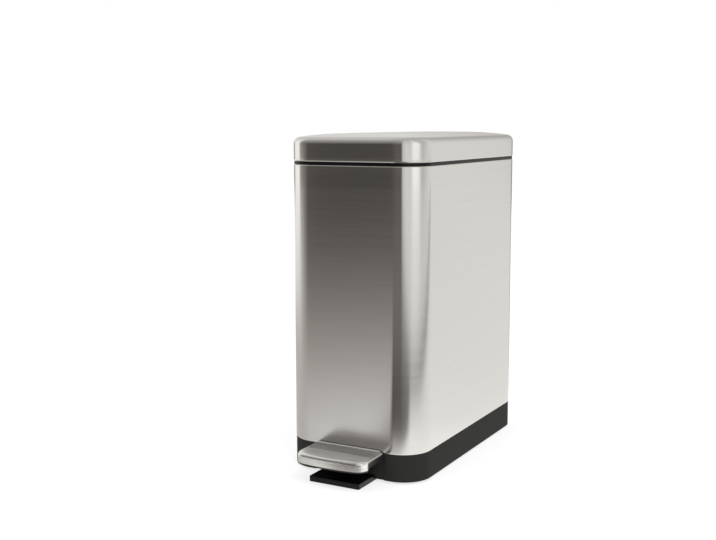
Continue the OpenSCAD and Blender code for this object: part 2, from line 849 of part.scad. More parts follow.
// Bracket in the lid: plate, two knuckle arms and two crank cheeks
module lid_bracket() {
    plate_z0 = liner_z1;
    crank_rear = channel_y1 - move_clear;
    color(bright)
        difference() {
            union() {
                block(-pocket_x - bracket_lap / 2, pocket_x + bracket_lap / 2,
                    channel_y0 - bracket_lap, channel_y1, plate_z0, plate_z0 + bracket_t);
                for (x = [-arm_x - arm_w, arm_x]) {
                    bar_x(x, x + arm_w, hinge_y, hinge_z, knuckle_r);
                    block(x, x + arm_w, channel_y1 - arm_w, hinge_y,
                        hinge_z - knuckle_r / 2, plate_z0 + bracket_t);
                }
                for (x = [-cheek_x - cheek_t, cheek_x]) {
                    bar_x(x, x + cheek_t, crank_y0, crank_z0, boss_r);
                    block(x, x + cheek_t, crank_y0 - boss_r, min(crank_y0 + boss_r, crank_rear),
                        crank_z0, plate_z0 + bracket_t);
                }
            }
            bar_x(-body_w / 2, body_w / 2, hinge_y, hinge_z, hinge_pin_r + run_clear);
            bar_x(-body_w / 2, body_w / 2, crank_y0, crank_z0, crank_pin_r);
            at_lid_screws() bar_z(plate_z0 - cut_over, plate_z0 + bracket_t + cut_over, 0, 0, screw_r);
        }
}

// Crank pin across the two cheeks
module crank_pin() {
    l = cheek_x + cheek_t + move_clear;
    color(bright)
        bar_x(-l, l, crank_y0, crank_z0, crank_pin_r);
}

// Radius of the pedal's bowed front, and the height of its corners' centres on the outline
function bow_radius(w, bow) = (w * w / 4 + bow * bow) / (2 * bow);
function corner_y(w, d, r, bow) =
    bow_radius(w, bow) - d - sqrt(pow(bow_radius(w, bow) - r, 2) - pow(w / 2 - r, 2));

// Outline of the pedal: straight back and sides, round corners and a bowed front
function pedal_points(w, d, r, bow) =
    let (big = bow_radius(w, bow),
        ky = corner_y(w, d, r, bow),
        turn = asin((w / 2 - r) / (big - r)),
        n = bow_steps)
    concat([[w / 2, 0]],
        [for (i = [0 : n]) let (a = i / n * (90 - turn)) [w / 2 - r + r * cos(a), ky - r * sin(a)]],
        [for (i = [1 : 2 * n - 1]) let (a = turn * (1 - i / n)) [big * sin(a), big - d - big * cos(a)]],
        [for (i = [0 : n]) let (a = (1 - i / n) * (90 - turn)) [-w / 2 + r - r * cos(a), ky - r * sin(a)]],
        [[-w / 2, 0]]);

// Puts its children under the pedal's top
module on_pedal() {
    translate([0, pedal_y1, pedal_top])
        children();
}

// Slab of the pedal's outline, drawn in by an inset, between two depths below its top
module pedal_slab(inset, deep, shallow, over = 0) {
    translate([0, 0, -deep])
        linear_extrude(deep - shallow)
            translate([0, over])
                polygon(pedal_points(pedal_w - 2 * inset, pedal_d - inset + over,
                    pedal_r - inset, pedal_bow));
}

// The pedal's outline at a depth, counter-clockwise from above
function pedal_ring(inset, deep, over) =
    let (p = pedal_points(pedal_w - 2 * inset, pedal_d - inset + over, pedal_r - inset, pedal_bow),
        n = len(p))
    [for (i = [1 : n]) [p[n - i][0], p[n - i][1] + over, -deep]];

// The pedal's form down to a depth, with its bend, drawn in all round by an inset
module pedal_form(inset, deep, over = 0) {
    r = pedal_bend - inset;
    ring_solid(concat([pedal_ring(inset, deep, over)],
        [for (i = [0 : bend_steps])
            let (a = 90 * i / bend_steps)
            pedal_ring(inset + r * (1 - cos(a)), inset + r * (1 - sin(a)), over)]));
}

// Space under the pedal's top in front of the lip's ends
module before_lip_end(deep) {
    block(-pedal_w, pedal_w, -2 * pedal_d, lip_end, -deep, 0);
}

// Space behind the lip's ends, between two depths below the pedal's top
module behind_lip_end(deep, shallow) {
    block(-pedal_w, pedal_w, lip_end, cut_over, -deep, -shallow);
}

// Steel cover of the pedal: its bent top, the lip round the front and the ridge at the back
module pedal_cover() {
    color(steel)
        on_pedal() {
            difference() {
                pedal_form(0, pedal_lip);
                pedal_form(pedal_t, pedal_lip + cut_over, cut_over);
                behind_lip_end(pedal_lip + cut_over, pedal_bend);
            }
            block(-pedal_w / 2 + pedal_bend, pedal_w / 2 - pedal_bend, -pedal_t, 0, -pedal_t, pedal_ridge);
        }
}

// Moulded core under the cover, seated on the lever's channel; its sides and foot show
module pedal_core() {
    color(black)
        difference() {
            on_pedal() {
                pedal_form(pedal_t, pedal_lip + core_foot);
                intersection() {
                    pedal_slab(core_inset, core_side + cut_over, pedal_bend);
                    behind_lip_end(pedal_lip, 0);
                }
                intersection() {
                    pedal_slab(0, pedal_lip + core_foot, pedal_lip);
                    before_lip_end(pedal_lip + 2 * core_foot);
                }
            }
            on_pedal()
                difference() {
                    behind_lip_end(pedal_lip + core_foot + cut_over, core_side);
                    pedal_slab(core_step, pedal_lip + core_foot + 2 * cut_over, core_side - cut_over);
                }
            lever_front();
        }
}

// Front channel of the lever, as a whole block
module lever_front() {
    block(-lever_w, lever_w, lever_y0, web_y1, pivot_z - lever_h / 2, pivot_z + lever_h / 2);
}

// Lever: front channel, sleeve round the pivot and the bar to the back
module pedal_lever() {
    color(bright)
        difference() {
            union() {
                difference() {
                    lever_front();
                    block(-lever_w + lever_t, lever_w - lever_t, lever_y0 + lever_t, web_y1 + cut_over,
                        pivot_z - lever_h / 2 - cut_over, pivot_z + lever_h / 2 - lever_t);
                }
                bar_x(-lever_w, lever_w, pivot_y, pivot_z, pivot_r + sleeve_t);
                translate([0, pivot_y, pivot_z])
                    rotate([-lever_rest, 0, 0]) {
                        block(-bar_t / 2, bar_t / 2, 0, lever_l, -lever_h / 2, lever_h / 2);
                        bar_x(-bar_t / 2, bar_t / 2, lever_l, 0, tip_r);
                    }
            }
            bar_x(-lever_w - cut_over, lever_w + cut_over, pivot_y, pivot_z, pivot_r + run_clear);
            bar_x(-lever_w, lever_w, tip_y, tip_z, end_pin_r);
        }
}

// Rivets between the pedal's core and the lever
module pedal_rivets() {
    color(bright)
        for (x = [-1, 1])
            bar_z(pivot_z + lever_h / 2 - lever_t - rivet_h, pivot_z + lever_h / 2 - lever_t,
                x * lever_w / 2, pedal_y1 - lever_front_l / 2, rivet_r);
}

// Pin through the lever's rear end
module lever_end_pin() {
    l = bar_t / 2 + slot_clear + fork_t;
    color(bright)
        bar_x(-l, l, tip_y, tip_z, end_pin_r);
}

// Rod from the lever's end up to the yoke
module lift_rod() {
    color(bright)
        bar_z(tip_z + tip_r + side_clear, crank_z0 - yoke_hh - yoke_wall, 0, rod_y, rod_r);
}

// Fork on the rod's lower end that the lever's end pin runs in
module rod_foot() {
    w = bar_t / 2 + slot_clear;
    color(steel)
        difference() {
            block(-w - fork_t, w + fork_t, rod_y - fork_hw, rod_y + fork_hw,
                tip_z - foot_down, tip_z + foot_up);
            block(-w, w, rod_y - fork_hw - cut_over, rod_y + fork_hw + cut_over,
                tip_z - foot_down - cut_over, tip_z + tip_r + side_clear);
            bar_z(tip_z + tip_r, tip_z + foot_up + cut_over, 0, rod_y, rod_r);
            block(-w - fork_t - cut_over, w + fork_t + cut_over, rod_y - tip_play, rod_y + tip_play,
                tip_z - end_pin_r - slot_clear, tip_z + end_pin_r + slot_clear);
            for (y = [-tip_play, tip_play])
                bar_x(-w - fork_t - cut_over, w + fork_t + cut_over, rod_y + y, tip_z,
                    end_pin_r + slot_clear);
        }
}

// Yoke on the rod's upper end, slotted for the crank pin
module rod_yoke() {
    y0 = crank_y1 - crank_pin_r - slot_clear;
    y1 = crank_y0 + crank_pin_r + slot_clear;
    hh = yoke_hh + yoke_wall;
    color(steel)
        difference() {
            union() {
                block(-yoke_t / 2, yoke_t / 2, y0 - yoke_wall, y1 + yoke_wall, crank_z0 - hh, crank_z0 + hh);
                block(-yoke_t / 2, yoke_t / 2, rod_y - fork_hw, rod_y + fork_hw,
                    stem_z1 - cut_over, crank_z0 - hh + cut_over);
                block(-fork_hw, fork_hw, rod_y - fork_hw, rod_y + fork_hw, stem_z1 - stem_h, stem_z1);
            }
            block(-yoke_t, yoke_t, y0, y1, crank_z0 - yoke_hh, crank_z0 + yoke_hh);
            bar_z(stem_z1 - stem_h - cut_over, crank_z0 - hh, 0, rod_y, rod_r);
        }
}

// Piston on the rod, in the damper's tube
module damper_piston() {
    color(bright)
        difference() {
            bar_z(piston_z0, piston_z0 + piston_h, 0, rod_y, damper_r - damper_t - run_clear);
            bar_z(piston_z0 - cut_over, piston_z0 + piston_h + cut_over, 0, rod_y, rod_r);
        }
}

// Solid between the bucket's floor and rim, drawn in all round by an inset
module bucket_form(inset, z0, z1) {
    w = bucket_w - 2 * bucket_rim - 2 * inset;
    d = bucket_y1 - bucket_y0 - 2 * bucket_rim - 2 * inset;
    r = bucket_r - inset;
    hull()
        for (p = [[bucket_draft, z0], [0, z1]])
            translate([0, (bucket_y0 + bucket_y1) / 2, p[1]])
                linear_extrude(slice)
                    rounded_rect(w - p[0], d - p[0], r, $fn = 32);
}

// Bucket with a turned-out rim and a finger slot in each side
module bucket() {
    color(dark_grey)
        difference() {
            union() {
                bucket_form(0, bucket_z0, bucket_z1 - slice);
                translate([0, (bucket_y0 + bucket_y1) / 2, bucket_z1 - rim_t])
                    linear_extrude(rim_t)
                        rounded_rect(bucket_w, bucket_y1 - bucket_y0, bucket_r, $fn = 32);
            }
            bucket_form(bucket_t, bucket_z0 + bucket_t, bucket_z1 + cut_over);
            block(-body_w / 2, body_w / 2, -grip_w / 2 + grip_h / 2, grip_w / 2 - grip_h / 2,
                grip_z - grip_h / 2, grip_z + grip_h / 2);
            for (y = [-1, 1])
                bar_x(-body_w / 2, body_w / 2, y * (grip_w - grip_h) / 2, grip_z, grip_h / 2);
        }
}

body_shell();
top_collar();
base_skirt();
base_deck();
base_bottom();
foot_plate();
rubber_feet();
base_screws();
foot_plate_screws();
hinge_leaf();
hinge_pin();
hinge_screws();
rod_channel();
rod_guide();
rod_bush();
damper_cylinder();
damper_caps();
damper_clamp();
pivot_bracket();
pivot_pin();
pivot_screws();
lid_cover();
lid_liner();
lid_bumpers();
lid_bracket();
crank_pin();
lid_screws();
pedal_cover();
pedal_core();
pedal_lever();
pedal_rivets();
lever_end_pin();
lift_rod();
rod_yoke();
rod_foot();
damper_piston();
bucket();
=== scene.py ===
# A slim step bin: a brushed steel sleeve on a black base, a hinged steel lid over a black
# seam, a steel pedal with a moulded core, and the bucket, hinge, rod and damper inside.
# Lengths are in millimetres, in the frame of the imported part, until a mesh is made.
import json
import math

import bmesh
import bpy
import numpy as np
from mathutils import Matrix, Vector

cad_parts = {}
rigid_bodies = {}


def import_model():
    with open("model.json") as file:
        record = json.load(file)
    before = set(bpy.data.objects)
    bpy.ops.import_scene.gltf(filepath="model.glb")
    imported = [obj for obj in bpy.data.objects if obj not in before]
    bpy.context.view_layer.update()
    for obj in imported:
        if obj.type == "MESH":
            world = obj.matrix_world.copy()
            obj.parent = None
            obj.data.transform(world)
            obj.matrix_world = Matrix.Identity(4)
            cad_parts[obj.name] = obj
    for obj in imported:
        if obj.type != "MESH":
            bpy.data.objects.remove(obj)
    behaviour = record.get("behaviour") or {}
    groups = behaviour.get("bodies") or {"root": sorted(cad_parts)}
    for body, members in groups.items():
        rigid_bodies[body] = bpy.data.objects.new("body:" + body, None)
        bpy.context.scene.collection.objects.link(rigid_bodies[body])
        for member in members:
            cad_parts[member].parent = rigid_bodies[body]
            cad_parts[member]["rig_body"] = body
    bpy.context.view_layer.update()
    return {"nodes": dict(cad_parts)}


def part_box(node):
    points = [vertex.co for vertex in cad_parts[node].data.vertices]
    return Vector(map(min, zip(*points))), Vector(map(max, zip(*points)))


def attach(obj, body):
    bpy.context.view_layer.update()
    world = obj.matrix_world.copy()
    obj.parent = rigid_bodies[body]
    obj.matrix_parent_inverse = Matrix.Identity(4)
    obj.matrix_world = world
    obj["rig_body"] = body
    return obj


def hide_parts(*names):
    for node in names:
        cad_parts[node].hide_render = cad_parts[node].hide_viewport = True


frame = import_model()
scene = bpy.context.scene
print("frame loaded:", len(frame["nodes"]), "nodes")


# Camera, from the edges of the bin in the photograph
cameraLook = {
    "place": (606.5, -1236.8, 420.9),
    "yaw": -28.882,
    "pitch": -7.887,
    "roll": -0.143,
    "lens": 53.8,
    "sensor": 36,
    "clip": (0.01, 60),  # metres
}


def makeCamera(look):
    # Forward and right follow from yaw and pitch, and up is square to both
    yaw, pitch = math.radians(look["yaw"]), math.radians(look["pitch"])
    level = math.cos(pitch)
    forward = Vector((math.sin(yaw) * level, math.cos(yaw) * level, math.sin(pitch)))
    right = Vector((math.cos(yaw), -math.sin(yaw), 0))
    up = right.cross(forward)
    data = bpy.data.cameras.new("camera")
    data.lens = look["lens"]
    data.sensor_width = look["sensor"]
    data.clip_start, data.clip_end = look["clip"]
    camera = bpy.data.objects.new("camera", data)
    scene.collection.objects.link(camera)
    turn = Matrix((right, up, -forward)).transposed().to_4x4()
    roll = Matrix.Rotation(math.radians(look["roll"]), 4, "Z")
    camera.matrix_world = Matrix.Translation(Vector(look["place"]) * 0.001) @ turn @ roll
    scene.camera = camera


makeCamera(cameraLook)
print("camera placed")


def spanOf(node):
    # A node's lowest and highest corners, in millimetres
    return [np.array(corner) * 1000 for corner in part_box(node)]


# Shader graphs
class Wire:
    # A socket's output in Python arithmetic: each operator adds a Math node
    def __init__(self, graph, socket):
        self.graph, self.socket = graph, socket

    def calc(self, operation, *values):
        return self.graph.node("ShaderNodeMath", {"operation": operation}, dict(enumerate(values)))

    def __add__(self, other):
        return self.calc("ADD", self, other)

    def __radd__(self, other):
        return self.calc("ADD", other, self)

    def __sub__(self, other):
        return self.calc("SUBTRACT", self, other)

    def __rsub__(self, other):
        return self.calc("SUBTRACT", other, self)

    def __mul__(self, other):
        return self.calc("MULTIPLY", self, other)

    def __rmul__(self, other):
        return self.calc("MULTIPLY", other, self)


class Graph:
    # The node tree of a material or of the world, emptied first
    def __init__(self, owner):
        owner.use_nodes = True
        self.tree = owner.node_tree
        self.tree.nodes.clear()

    def node(self, kind, settings=None, inputs=None, out=0):
        made = self.tree.nodes.new(kind)
        for name, value in (settings or {}).items():
            if name == "stops":
                ramp = made.color_ramp
                while len(ramp.elements) < len(value):
                    ramp.elements.new(0.5)
                for element, (place, tone) in zip(ramp.elements, value):
                    element.position, element.color = place, (tone, tone, tone, 1)
            else:
                setattr(made, name, value)
        for name, value in (inputs or {}).items():
            if isinstance(value, Wire):
                self.tree.links.new(value.socket, made.inputs[name])
            elif hasattr(value, "__len__") and len(value) == 3 and made.inputs[name].type == "RGBA":
                made.inputs[name].default_value = (*value, 1)
            else:
                made.inputs[name].default_value = value
        return Wire(self, made.outputs[out])

    def noise(self, scale, detail=2.0, rough=0.5):
        # Noise over Object coordinates, with its own scale along each axis
        point = self.node("ShaderNodeTexCoord", out="Object")
        scaled = self.node("ShaderNodeMapping", None, {"Vector": point, "Scale": scale})
        return self.node("ShaderNodeTexNoise", None, {
            "Vector": scaled, "Scale": 1.0, "Detail": detail, "Roughness": rough})

    def axes(self):
        # X, Y and Z of the Object coordinates
        point = self.node("ShaderNodeTexCoord", out="Object")
        return [self.node("ShaderNodeSeparateXYZ", None, {0: point}, out=k) for k in range(3)]

    def between(self, value, low, high):
        # 0 below low, 1 above high, smooth in between
        return self.node("ShaderNodeMapRange", {"interpolation_type": "SMOOTHSTEP"},
                         {"Value": value, "From Min": low, "From Max": high})

    def blend(self, share, one, other):
        # Colour one where share is 0, other where it is 1
        sockets = {0: share, 6: one, 7: other}
        return self.node("ShaderNodeMix", {"data_type": "RGBA"}, sockets, out=2)

    def finish(self, surface, kind="ShaderNodeOutputMaterial"):
        made = self.tree.nodes.new(kind)
        self.tree.links.new(surface.socket, made.inputs["Surface"])


def tint(colour, factor):
    return tuple(channel * factor for channel in colour)


# Brushed steel. The lines run level round the body, so reflections smear up and down.
sleeveSteel = {
    "colour": (0.640, 0.630, 0.612),
    "roughness": 0.145,
    "anisotropic": 1.0,
    "rotation": 0.25,
    "fine": (14.0, 14.0, 2300.0),
    "broad": (4.0, 4.0, 240.0),
    "streaks": 0.04,
    "relief": 0.05,
}
lidTopSteel = {
    "colour": (0.640, 0.630, 0.612),
    "roughness": 0.20,
    "anisotropic": 0.0,
    "rotation": 0.0,
    "fine": (2300.0, 14.0, 14.0),
    "broad": (240.0, 4.0, 4.0),
    "streaks": 0.04,
    "relief": 0.05,
}
pedalSteel = {
    "colour": (0.700, 0.690, 0.675),
    "roughness": 0.25,
    "anisotropic": 0.0,
    "rotation": 0.0,
    "fine": (16.0, 1500.0, 1500.0),
    "broad": (9.0, 330.0, 330.0),
    "streaks": 0.6,
    "relief": 0.1,
    "paintedFront": (-0.1885, -0.1865),  # along Y, in metres: from the front, where more diffuse colour paints in sheen, to the rear, where less does
    # Metallic shares of the flat top, front and rear: the rest is plain diffuse colour, a painted
    # sheen that gives the top a paler tone
    "paintedFrontMetal": 0.74,
    "paintedRearMetal": 0.88,
    "flat": (-0.0007, -0.0002),  # from the bend up to the flat, against the plate's top, in metres
}
zincLook = {
    "colour": (0.45, 0.46, 0.48),
    "roughness": 0.3,
    "anisotropic": 0.0,
    "rotation": 0.0,
    "fine": (500.0, 500.0, 500.0),
    "broad": (60.0, 60.0, 60.0),
    "streaks": 0.16,
    "relief": 0.05,
}
ridgeRise = 1.2  # the pedal's turned-up rear edge stands this much over the plate
pedalSteel["top"] = (spanOf("pedal_cover")[1][2] - ridgeRise) * 0.001
# What all metals share: fine lines over broad bands, and how far each changes the roughness
brushing = {"bandShare": 0.6, "lineRough": 0.06, "bandRough": 0.02, "depth": 0.0001}


def brushedMetal(name, look):
    material = bpy.data.materials.new(name)
    graph = Graph(material)
    lines = graph.noise(look["fine"], detail=3.0, rough=0.6)
    bands = graph.noise(look["broad"])
    tone = graph.blend(
        bands * brushing["bandShare"] + lines * (1 - brushing["bandShare"]),
        tint(look["colour"], 1 - look["streaks"]), tint(look["colour"], 1 + look["streaks"]))
    metal = 1.0
    if "paintedFront" in look:  # painted sheen: part of the flat top's metal turns into plain diffuse colour in place of reflected light, more in front of a line across it
        _, y, z = graph.axes()
        plain = graph.between(y, *look["paintedFront"])
        flat = graph.between(z - look["top"], *look["flat"])
        paintedFront, gain = look["paintedFrontMetal"], look["paintedRearMetal"] - look["paintedFrontMetal"]
        metal = 1 - flat * (1 - paintedFront - plain * gain)
    relief = graph.node("ShaderNodeBump", None, {
        "Strength": look["relief"], "Distance": brushing["depth"], "Height": lines})
    uneven = (lines - 0.5) * brushing["lineRough"] + (bands - 0.5) * brushing["bandRough"]
    surface = graph.node("ShaderNodeBsdfPrincipled", None, {
        "Base Color": tone,
        "Metallic": metal,
        "Roughness": look["roughness"] + uneven,
        "Anisotropic": look["anisotropic"],
        "Anisotropic Rotation": look["rotation"],
        "Normal": relief,
    })
    graph.finish(surface)
    return material


# Moulded plastics and rubber: a fine pebbled face with slow changes of sheen
baseLook = {
    "colour": (0.0210, 0.0206, 0.0196),
    "roughness": 0.5, "gloss": 0.02, "grain": 900.0, "relief": 0.2,
}
seamLook = {
    "colour": (0.004, 0.004, 0.004),
    "roughness": 0.3, "gloss": 0.15, "grain": 700.0, "relief": 0.05,
}
plateLook = {
    "colour": (0.004, 0.004, 0.0038),
    "roughness": 0.4, "gloss": 0.18, "grain": 900.0, "relief": 0.2,
}
coreLook = {
    "colour": (0.012, 0.0118, 0.011),
    "roughness": 0.4, "gloss": 0.4, "grain": 900.0, "relief": 0.2,
}
greyLook = {
    "colour": (0.055, 0.055, 0.058),
    "roughness": 0.5, "gloss": 0.5, "grain": 800.0, "relief": 0.2,
}
bucketLook = {
    "colour": (0.045, 0.045, 0.048),
    "roughness": 0.36, "gloss": 0.5, "grain": 500.0, "relief": 0.1,
}
rubberLook = {
    "colour": (0.022, 0.022, 0.022),
    "roughness": 0.72, "gloss": 0.4, "grain": 1200.0, "relief": 0.3,
}
# What all plastics share: slow clouds over fine pebbles, and how far each changes the roughness
moulding = {
    "cloud": 22.0, "cloudShare": 0.7, "spread": 0.18, "cloudRough": 0.1, "pebbleRough": 0.08,
    "depth": 0.0002,
}


def mouldedPlastic(name, look):
    material = bpy.data.materials.new(name)
    graph = Graph(material)
    pebble = graph.noise((look["grain"],) * 3)
    cloud = graph.noise((moulding["cloud"],) * 3, detail=3.0)
    tone = graph.blend(
        cloud * moulding["cloudShare"] + pebble * (1 - moulding["cloudShare"]),
        tint(look["colour"], 1 - moulding["spread"]), tint(look["colour"], 1 + moulding["spread"]))
    relief = graph.node("ShaderNodeBump", None, {
        "Strength": look["relief"], "Distance": moulding["depth"], "Height": pebble})
    uneven = (cloud - 0.5) * moulding["cloudRough"] + (pebble - 0.5) * moulding["pebbleRough"]
    surface = graph.node("ShaderNodeBsdfPrincipled", None, {
        "Base Color": tone,
        "Roughness": look["roughness"] + uneven,
        "Specular IOR Level": look["gloss"],
        "Normal": relief,
    })
    graph.finish(surface)
    return material


finishes = {
    "sleeveSteel": brushedMetal("sleeveSteel", sleeveSteel),
    "lidTopSteel": brushedMetal("lidTopSteel", lidTopSteel),
    "pedalSteel": brushedMetal("pedalSteel", pedalSteel),
    "zinc": brushedMetal("zincPlate", zincLook),
    "basePlastic": mouldedPlastic("basePlastic", baseLook),
    "seamPlastic": mouldedPlastic("seamPlastic", seamLook),
    "platePlastic": mouldedPlastic("platePlastic", plateLook),
    "corePlastic": mouldedPlastic("corePlastic", coreLook),
    "greyPlastic": mouldedPlastic("greyPlastic", greyLook),
    "bucketPlastic": mouldedPlastic("bucketPlastic", bucketLook),
    "rubber": mouldedPlastic("softRubber", rubberLook),
}
print("materials made:", len(finishes))


# Meshes from grids of points. Points closer than merge become one and shorter edges than flat
# go, in metres, and faces within level degrees of each other join.
cleaning = {"merge": 2e-6, "flat": 1e-6, "level": 0.4}


def gridMesh(name, points, loopRows=False, loopColumns=True, drop=None, sharp=38):
    # Rows run up a profile and columns run round, anticlockwise seen from above, so that
    # the faces point outwards. drop marks the faces to leave out by their middles.
    rows, columns = points.shape[:2]
    i = np.arange(rows if loopRows else rows - 1)[:, None]
    j = np.arange(columns if loopColumns else columns - 1)[None, :]
    i1, j1 = (i + 1) % rows, (j + 1) % columns
    corners = np.broadcast_arrays(
        i * columns + j, i * columns + j1, i1 * columns + j1, i1 * columns + j)
    quads = np.stack(corners, -1).reshape(-1, 4)
    flat = points.reshape(-1, 3)
    if drop is not None:
        quads = quads[~drop(flat[quads].mean(1))]
    mesh = bpy.data.meshes.new(name)
    mesh.from_pydata((flat * 0.001).tolist(), [], quads.tolist())
    return tidied(name, mesh, sharp)


def tidied(name, mesh, sharp, joinFaces=False):
    # Merges doubles, drops flat faces and loose points, and shades smooth between sharp edges
    work = bmesh.new()
    work.from_mesh(mesh)
    bmesh.ops.remove_doubles(work, verts=work.verts, dist=cleaning["merge"])
    bmesh.ops.dissolve_degenerate(work, edges=work.edges, dist=cleaning["flat"])
    if joinFaces:
        level = math.radians(cleaning["level"])
        bmesh.ops.dissolve_limit(work, angle_limit=level, verts=work.verts, edges=work.edges)
    bmesh.ops.delete(work, geom=[v for v in work.verts if not v.link_faces], context="VERTS")
    work.to_mesh(mesh)
    work.free()
    mesh.shade_smooth()
    mesh.set_sharp_from_angle(angle=math.radians(sharp))
    piece = bpy.data.objects.new(name, mesh)
    scene.collection.objects.link(piece)
    return piece


def place(piece, body, finish, slotName, *replaced):
    # Gives a piece its finish, its body and the nodes it stands for
    if finish:
        piece.data.materials.clear()
        piece.data.materials.append(finishes[finish])
    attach(piece, body)
    if replaced:
        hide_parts(*replaced)
    return piece


def arc(start, end, steps):
    return np.radians(np.linspace(start, end, steps + 1))


def ringGrid(form, insets, heights, radii=None):
    # One ring for each inset and height: a round-cornered rectangle drawn in by the inset.
    # Each corner is its middle plus radius times (cos a, sin a), and each side runs between
    # two corners at fixed shares of its half length.
    inset = np.asarray(insets, float)[:, None]
    if radii is None:
        radius = np.maximum(form["radius"] - inset, form["leastRadius"])
    else:
        radius = np.asarray(radii, float)[:, None]
    midX = form["width"] / 2 - inset - radius
    midY = form["depth"] / 2 - inset - radius
    turn = arc(0, 90, form["cornerSteps"])[None, :]
    sideX = np.asarray(form["sideX"], float)[None, :]
    sideY = np.asarray(form["sideY"], float)[None, :]
    xs, ys = [], []
    for quarter, (sx, sy) in enumerate(((1, 1), (-1, 1), (-1, -1), (1, -1))):
        angle = turn + quarter * math.pi / 2
        xs.append(sx * midX + radius * np.cos(angle))
        ys.append(sy * midY + radius * np.sin(angle))
        if quarter % 2 == 0:
            xs.append(-sy * midX * sideX)
            ys.append(sy * (midY + radius) + 0 * sideX)
        else:
            xs.append(sx * (midX + radius) + 0 * sideY)
            ys.append(sx * midY * sideY)
    x, y = np.concatenate(xs, 1), np.concatenate(ys, 1)
    z = np.broadcast_to(np.asarray(heights, float)[:, None], x.shape)
    return np.stack([x, y + form.get("middle", 0.0), z], -1)


def sheetWall(piece, name, thick):
    # Gives a surface its thickness, inwards
    wall = piece.modifiers.new(name, "SOLIDIFY")
    wall.thickness, wall.offset = thick * 0.001, -1
    wall.use_even_offset = True


def trimEdges(piece, width, angle):
    # Rounds the edges that are sharper than the angle, in degrees
    trim = piece.modifiers.new("edge", "BEVEL")
    trim.width, trim.segments, trim.angle_limit = width * 0.001, 2, math.radians(angle)
    trim.harden_normals = True


# Steel sleeve: a sheet with its edges rolled in at the seam and at the base
shellLow, shellHigh = spanOf("body_shell")
bodyForm = {
    "width": shellHigh[0] - shellLow[0], "depth": shellHigh[1] - shellLow[1],
    "radius": 36.0, "leastRadius": 0.4, "cornerSteps": 28,
    "sideX": (-0.75, -0.5, -0.25, 0.0, 0.25, 0.5, 0.75),
    "sideY": (-0.8, -0.6, -0.4, -0.2, 0.0, 0.2, 0.4, 0.6, 0.8),
}
sleeve = {
    "bottom": shellLow[2], "top": shellHigh[2], "sheet": 0.6, "hem": 1.8, "lap": 0.2, "rows": 12,
}


def sleeveMesh(form, size):
    # Profile: hem quarter circles join the outer face to a narrow turned-in lap at both ends.
    # It goes up outside and comes down inside, a sheet's thickness further in.
    hem, sheet, low, high = size["hem"], size["sheet"], size["bottom"], size["top"]
    small, lap = hem - sheet, [hem + size["lap"]]
    a = arc(0, 90, 6)
    back = a[::-1]
    walls = np.linspace(low + hem, high - hem, size["rows"])
    insets = np.concatenate([
        lap, hem * (1 - np.sin(a)), 0 * walls, hem * (1 - np.cos(a)), lap,
        lap, hem - small * np.cos(back), sheet + 0 * walls, hem - small * np.sin(back), lap])
    heights = np.concatenate([
        [low], low + hem * (1 - np.cos(a)), walls, high - hem * (1 - np.sin(a)), [high],
        [high - sheet], high - hem + small * np.sin(back), walls[::-1],
        low + hem - small * np.cos(back), [low + sheet]])
    return gridMesh("steelSleeve", ringGrid(form, insets, heights), loopRows=True)


place(sleeveMesh(bodyForm, sleeve), "body", "sleeveSteel", "brushed_steel", "body_shell")
print("sleeve made")

# Lid: skirt, rounded edge and a shallow crown that rises towards the middle line
lidBase = spanOf("lid_cover")[0][2]
lid = {
    "bottom": lidBase - 0.8, "skirt": 20.7, "edge": 8.4, "crown": 4.44, "fullness": 3.5,
    "sheet": 0.6, "hem": 2.0, "lap": 0.2,
    "armInner": 21.5, "armOuter": 30.0, "armTop": lidBase + 8.9, "armDepth": 2.0,
    "topFrom": 0.62,  # the share of the edge's height from which the top's brushing shows
    "shares": (0.03, 0.07, 0.12, 0.2, 0.3, 0.4, 0.5, 0.6, 0.7, 0.8, 0.9, 1.0),
}


def lidMesh(form, size):
    # Edge: quarter circle up to the crown's slope. Crown: height times 1 - (1 - s) to the
    # power of the fullness, s being the share of the way in. Corner radii shrink evenly with
    # s, and the last ring closes on the middle line.
    hem, edge, full = size["hem"], size["edge"], size["fullness"]
    low, shoulder = size["bottom"], size["bottom"] + size["skirt"]
    reach = form["width"] / 2 - edge
    slope = full * size["crown"] / reach
    a, b = arc(0, 90, 6), arc(0, 90 - math.degrees(math.atan(slope)), 16)
    edgeIn, edgeZ = edge * (1 - np.cos(b)), shoulder + edge * np.sin(b)
    reach = form["width"] / 2 - edgeIn[-1]
    s = np.array(size["shares"])
    inner, outer, armTop = size["armInner"], size["armOuter"], size["armTop"]
    walls = np.array([(low + hem + armTop) / 2, armTop, (armTop + shoulder) / 2])
    insets = np.concatenate([
        [hem + size["lap"]], hem * (1 - np.sin(a)), 0 * walls, edgeIn, edgeIn[-1] + s * reach])
    heights = np.concatenate([
        [low], low + hem * (1 - np.cos(a)), walls, edgeZ,
        edgeZ[-1] + size["crown"] * (1 - (1 - s) ** full)])
    wide = form["width"] / 2 - form["radius"]
    arms = [side * x / wide for side in (-1, 1) for x in (inner, outer)]
    lidForm = {**form, "sideX": sorted([-0.75, 0.0, 0.75] + arms)}
    shrunk = (form["radius"] - edgeIn[-1]) * (1 - (insets - edgeIn[-1]) / reach)
    radii = np.where(insets > edgeIn[-1], shrunk, form["radius"] - insets)
    points = ringGrid(lidForm, insets, heights, np.maximum(radii, 0))
    points[-1, :, 0] = 0

    def notch(middles):
        # Where the hinge's arms pass through the skirt at the back
        x, y, z = np.abs(middles[:, 0]), middles[:, 1], middles[:, 2]
        rear = y > form["depth"] / 2 - size["armDepth"]
        return (x > inner) & (x < outer) & rear & (z < armTop)

    piece = gridMesh("steelLid", points, drop=notch)
    faces = piece.data.polygons
    middles = np.empty(len(faces) * 3, np.float32)
    faces.foreach_get("center", middles)
    high = middles[2::3] * 1000 > shoulder + edge * size["topFrom"]
    faces.foreach_set("material_index", high.astype(np.int32))
    sheetWall(piece, "sheet", size["sheet"])
    return piece


